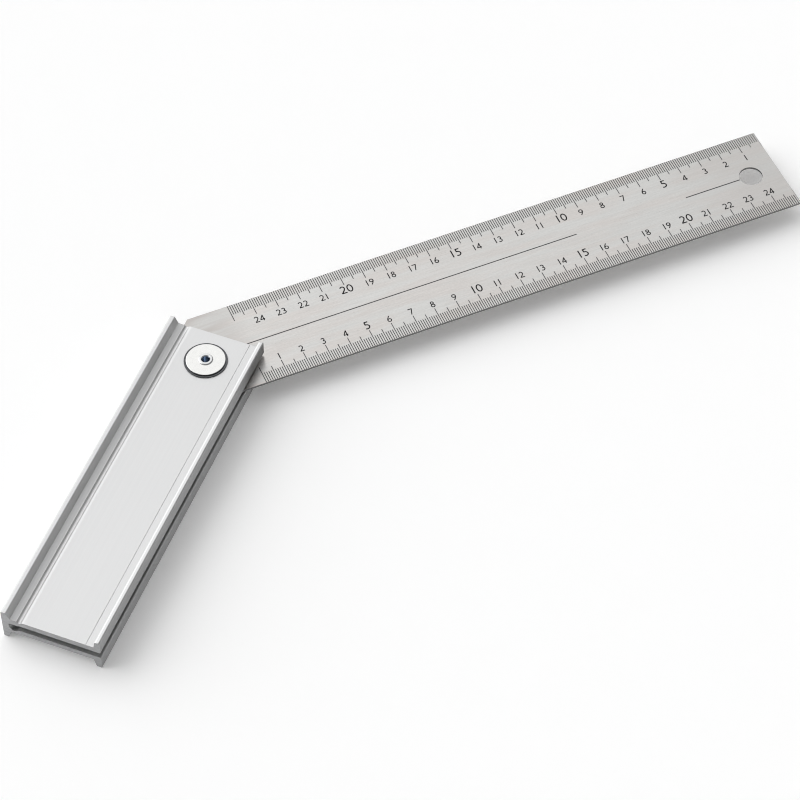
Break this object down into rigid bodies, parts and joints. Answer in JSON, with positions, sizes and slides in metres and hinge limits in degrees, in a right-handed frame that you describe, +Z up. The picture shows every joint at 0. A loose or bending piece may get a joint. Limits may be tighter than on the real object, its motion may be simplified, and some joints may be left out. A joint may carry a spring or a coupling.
{
  "type": "adjustable set square",
  "caption": "Adjustable set square: a steel rule blade, graduated along both edges, swings on a riveted friction pivot out of a slotted aluminium stock.",
  "frame": {"origin": "middle of the open tool's bounding box, on the surface that the stock's feet stand on", "axes": "+X along the blade from the pivot to its square end, +Z up, square to the blade's scaled face, +Y in the blade's plane towards its far edge"},
  "size_m": [0.3902, 0.1454, 0.0166],
  "materials": {
    "anodised_aluminium": "satin natural anodised extrusion, square sawn ends",
    "brushed_stainless": "brushed along its length, dark etched scales",
    "plated_steel": "bright nickel plating",
    "spring_steel": "bright spring steel",
    "washer_nylon": "black nylon",
    "zinc_steel": "zinc plated"
  },
  "bodies": {
    "stock": {"stock": "anodised_aluminium", "pivot_rivet": "plated_steel", "cover_disc": "plated_steel", "spring_washer": "spring_steel", "upper_friction_washer": "washer_nylon", "lower_friction_washer": "washer_nylon", "backing_washer": "zinc_steel"},
    "blade": {"blade": "brushed_stainless"}
  },
  "joints": [
    {"name": "blade_pivot", "type": "hinge", "parent": "stock", "child": "blade", "pos_m": [-0.07491, 0.04556, 0.0083], "axis": [0, 0, 1], "range_deg": [-135, 0]}
  ]
}
